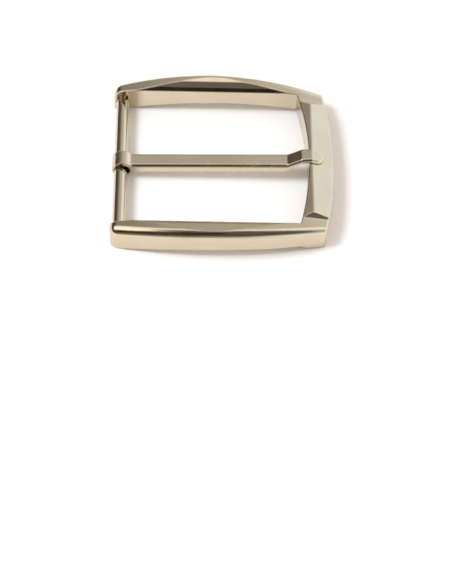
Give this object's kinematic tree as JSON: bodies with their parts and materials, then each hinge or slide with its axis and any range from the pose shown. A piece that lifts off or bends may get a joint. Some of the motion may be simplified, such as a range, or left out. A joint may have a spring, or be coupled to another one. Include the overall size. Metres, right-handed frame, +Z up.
{
  "type": "heel-bar belt buckle",
  "caption": "Polished dress belt buckle for a 35 mm strap: an arched open frame, a round heel bar for the strap's fold, and a joggled prong that swings and slides on the bar.",
  "frame": {"origin": "middle of the footprint, on the plane the buckle lies on", "axes": "+X from the heel bar to the front bar, +Y across the strap, +Z up through the face"},
  "size_m": [0.0508, 0.0458, 0.0083],
  "materials": {
    "frame": "cast zinc alloy, polished and plated in a warm pale nickel",
    "heel_bar": "round steel wire, plated in a warm pale nickel",
    "prong": "cast zinc alloy, polished and plated in a warm pale nickel"
  },
  "bodies": {
    "frame": {"frame": "frame"},
    "heel_bar": {"heel_bar": "heel_bar"},
    "prong": {"prong": "prong"}
  },
  "joints": [
    {"name": "prong_swing", "type": "hinge", "parent": "frame", "child": "heel_bar", "pos_m": [-0.0234, 0, 0.00265], "axis": [0, -1, 0], "range_deg": [0, 349]},
    {"name": "prong_slide", "type": "slide", "parent": "heel_bar", "child": "prong", "axis": [0, 1, 0], "range_m": [-0.013, 0.013]}
  ]
}
